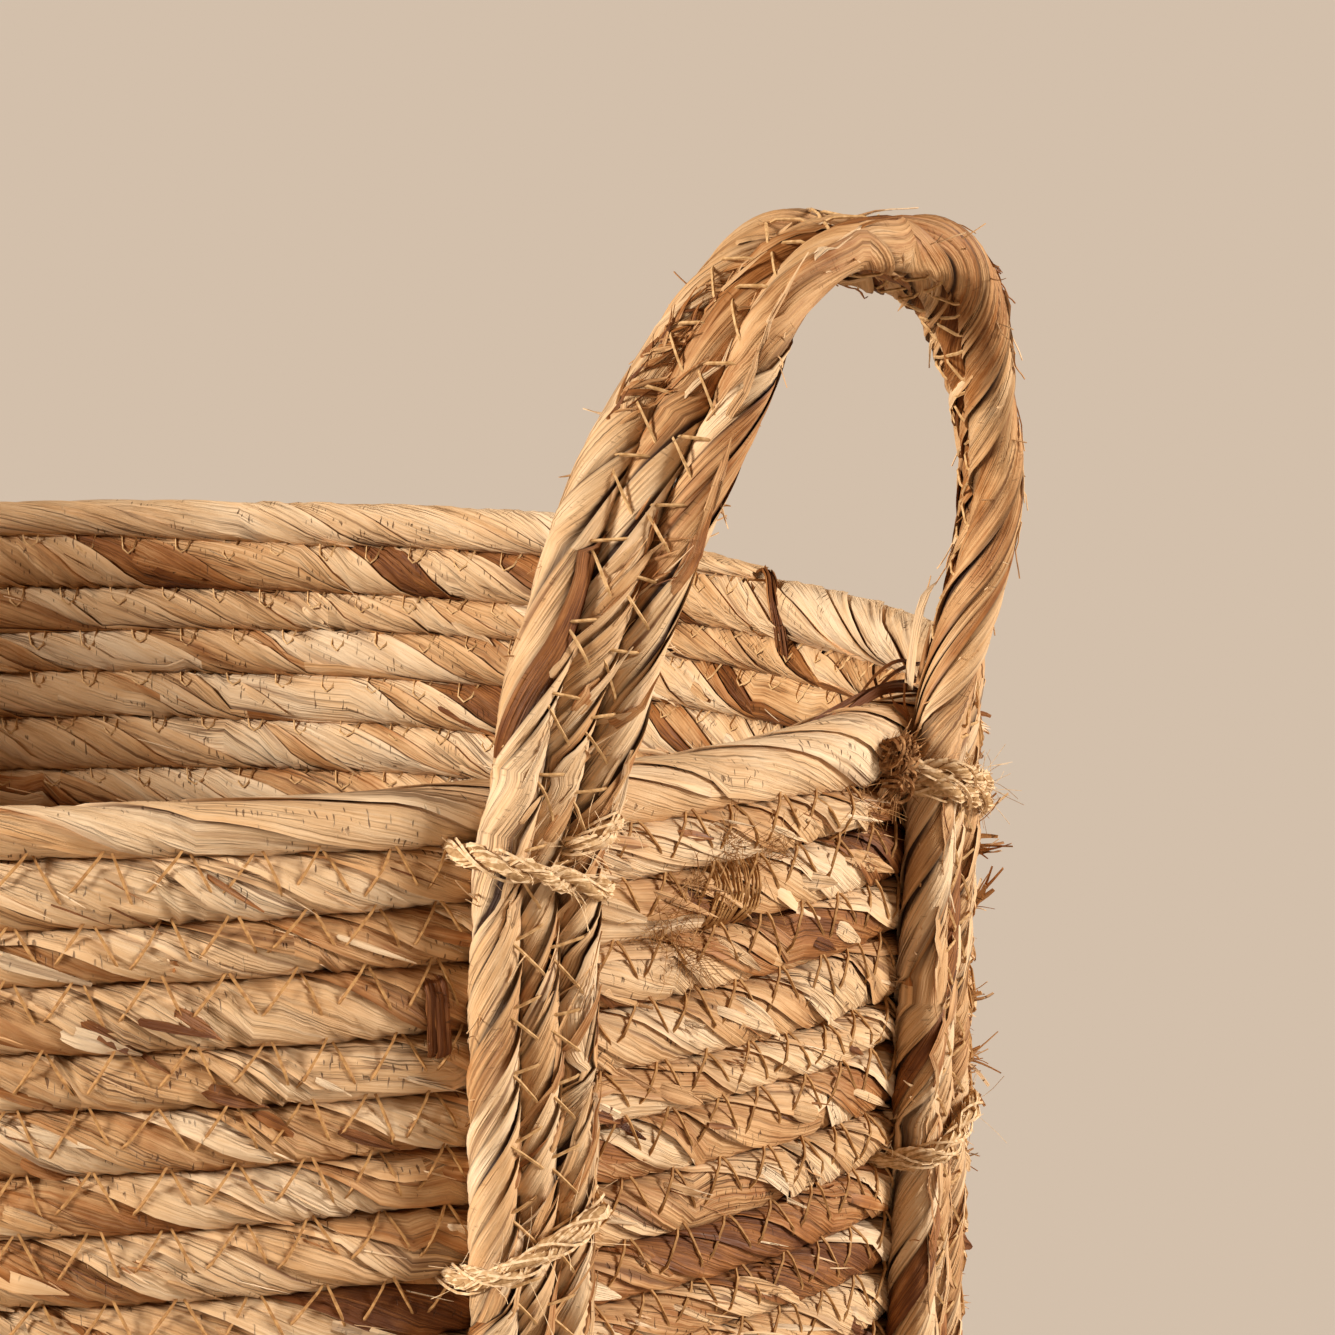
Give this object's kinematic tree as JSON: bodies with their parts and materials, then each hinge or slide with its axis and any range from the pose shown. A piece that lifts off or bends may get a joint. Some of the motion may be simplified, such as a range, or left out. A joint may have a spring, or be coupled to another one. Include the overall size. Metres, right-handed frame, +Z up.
{
  "type": "coiled rope basket",
  "caption": "Round, open storage basket coiled from plant-fibre rope, with a stepped rim and a flexible sewn cord handle on each side.",
  "frame": {"origin": "on the basket's axis at the floor, under the middle of the bounding box", "axes": "+Z up, with one handle on +X and the other on -X"},
  "size_m": [0.4942, 0.4393, 0.4472],
  "materials": {
    "rope": "matte",
    "cord": "matte",
    "twine": "matte"
  },
  "bodies": {
    "basket": {"base_rope_inner": "rope", "base_rope_outer": "rope", "wall_rope_1": "rope", "wall_rope_2": "rope", "wall_rope_3": "rope", "wall_rope_4": "rope", "wall_rope_5": "rope", "wall_rope_6": "rope", "rim_rope": "rope", "right_first_leg_cord_1": "cord", "right_first_leg_cord_2": "cord", "right_first_leg_cord_3": "cord", "right_second_leg_cord_1": "cord", "right_second_leg_cord_2": "cord", "right_second_leg_cord_3": "cord", "left_first_leg_cord_1": "cord", "left_first_leg_cord_2": "cord", "left_first_leg_cord_3": "cord", "left_second_leg_cord_1": "cord", "left_second_leg_cord_2": "cord", "left_second_leg_cord_3": "cord", "right_first_tie_1": "twine", "right_first_tie_2": "twine", "right_first_tie_3": "twine", "right_first_tie_4": "twine", "right_first_tie_5": "twine", "right_second_tie_1": "twine", "right_second_tie_2": "twine", "right_second_tie_3": "twine", "right_second_tie_4": "twine", "right_second_tie_5": "twine", "left_first_tie_1": "twine", "left_first_tie_2": "twine", "left_first_tie_3": "twine", "left_first_tie_4": "twine", "left_first_tie_5": "twine", "left_second_tie_1": "twine", "left_second_tie_2": "twine", "left_second_tie_3": "twine", "left_second_tie_4": "twine", "left_second_tie_5": "twine"},
    "right_handle": {"right_arch_cord_1": "cord", "right_arch_cord_2": "cord", "right_arch_cord_3": "cord"},
    "left_handle": {"left_arch_cord_1": "cord", "left_arch_cord_2": "cord", "left_arch_cord_3": "cord"}
  },
  "joints": [
    {"name": "right_handle_bend", "type": "hinge", "parent": "basket", "child": "right_handle", "pos_m": [0.21503, 0, 0.349], "axis": [0, 1, 0], "range_deg": [-30, 45], "stiffness_Nm_per_rad": 0.25},
    {"name": "left_handle_bend", "type": "hinge", "parent": "basket", "child": "left_handle", "pos_m": [-0.21503, 0, 0.349], "axis": [0, -1, 0], "range_deg": [-30, 45], "stiffness_Nm_per_rad": 0.25}
  ]
}
